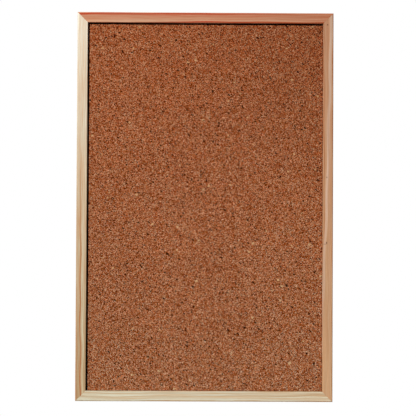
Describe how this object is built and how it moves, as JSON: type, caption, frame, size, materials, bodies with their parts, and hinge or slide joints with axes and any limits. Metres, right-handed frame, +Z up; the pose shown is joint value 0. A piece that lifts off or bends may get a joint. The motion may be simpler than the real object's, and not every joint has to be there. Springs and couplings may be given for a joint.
{
  "type": "cork bulletin board",
  "caption": "Upright cork notice board: a thin cork sheet set back in a mitred pine frame, with swinging D-ring hangers and rubber bumpers on the back.",
  "frame": {"origin": "the middle of the board's width and height, on the plane of the wall that its four bumpers rest on", "axes": "+X to the viewer's right across the board, +Y from the board's face back towards the wall, +Z up"},
  "size_m": [0.396, 0.0195, 0.6],
  "materials": {
    "pine_top": "satin",
    "pine_bottom": "satin",
    "pine_left": "satin",
    "pine_right": "satin",
    "cork": "matte",
    "softboard": "matte",
    "hardboard": "satin",
    "bare_steel": "satin",
    "zinc_steel": "satin",
    "yellow_zinc": "satin",
    "bumper_rubber": "matte"
  },
  "bodies": {
    "board": {"top_rail": "pine_top", "bottom_rail": "pine_bottom", "left_stile": "pine_left", "right_stile": "pine_right", "cork_sheet": "cork", "core_panel": "softboard", "back_panel": "hardboard", "corner_nails_top_left": "bare_steel", "corner_nails_top_right": "bare_steel", "corner_nails_bottom_left": "bare_steel", "corner_nails_bottom_right": "bare_steel", "retaining_points_top": "bare_steel", "retaining_points_bottom": "bare_steel", "retaining_points_left": "bare_steel", "retaining_points_right": "bare_steel", "hanger_strap_left": "zinc_steel", "hanger_strap_right": "zinc_steel", "hanger_screw_left": "yellow_zinc", "hanger_screw_right": "yellow_zinc", "bumper_top_left": "bumper_rubber", "bumper_top_right": "bumper_rubber", "bumper_bottom_left": "bumper_rubber", "bumper_bottom_right": "bumper_rubber"},
    "left_ring": {"hanger_ring_left": "zinc_steel"},
    "right_ring": {"hanger_ring_right": "zinc_steel"}
  },
  "joints": [
    {"name": "left_ring_swing", "type": "hinge", "parent": "board", "child": "left_ring", "pos_m": [-0.1916, -0.00275, 0.18], "axis": [1, 0, 0], "range_deg": [0, 172]},
    {"name": "right_ring_swing", "type": "hinge", "parent": "board", "child": "right_ring", "pos_m": [0.1916, -0.00275, 0.18], "axis": [1, 0, 0], "range_deg": [0, 172]}
  ]
}
